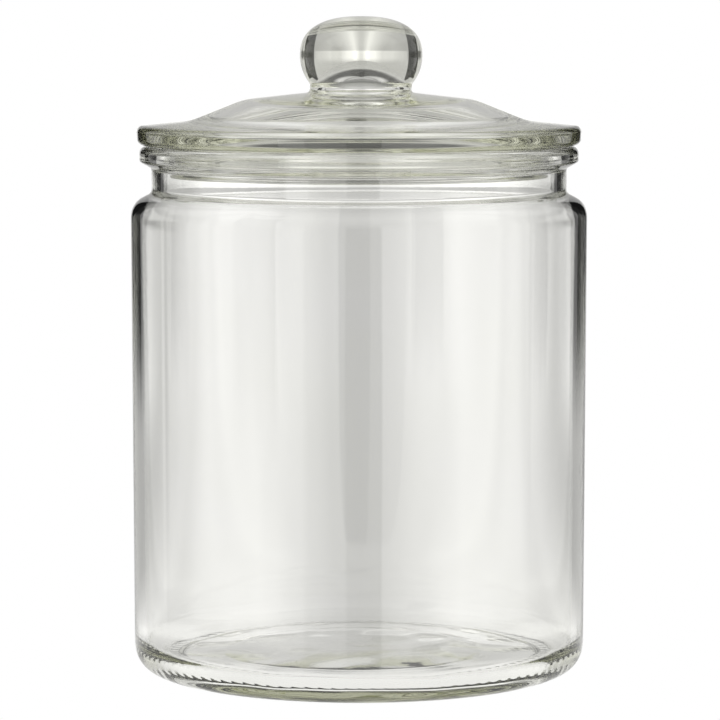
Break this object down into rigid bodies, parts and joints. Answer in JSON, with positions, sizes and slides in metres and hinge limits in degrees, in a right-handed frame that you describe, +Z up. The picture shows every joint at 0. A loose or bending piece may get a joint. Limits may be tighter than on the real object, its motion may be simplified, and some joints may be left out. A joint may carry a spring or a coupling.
{
  "type": "lidded glass canister",
  "caption": "Round clear glass storage jar with a necked mouth, a domed glass lid with a ball knob, and a clear sealing ring on the lid's plug.",
  "frame": {"origin": "middle of the base, in the plane that the jar stands on", "axes": "+Z up the jar's axis, through the knob; X and Y are any two level directions, as the canister is round"},
  "size_m": [0.14, 0.14, 0.201],
  "materials": {
    "clear_glass": "clear, fire polished, with a faint grey-green tint in thick edges",
    "clear_plastic": "clear soft plastic, slightly hazy"
  },
  "bodies": {
    "jar": {"glass_jar": "clear_glass"},
    "seal": {"sealing_ring": "clear_plastic"},
    "lid": {"glass_lid": "clear_glass"}
  },
  "joints": [
    {"name": "lid_lift", "type": "slide", "parent": "jar", "child": "seal", "axis": [0, 0, 1], "range_m": [0, 0.12]},
    {"name": "lid_turn", "type": "hinge", "parent": "seal", "child": "lid", "pos_m": [0, 0, 0.1616], "axis": [0, 0, 1], "continuous": true}
  ]
}
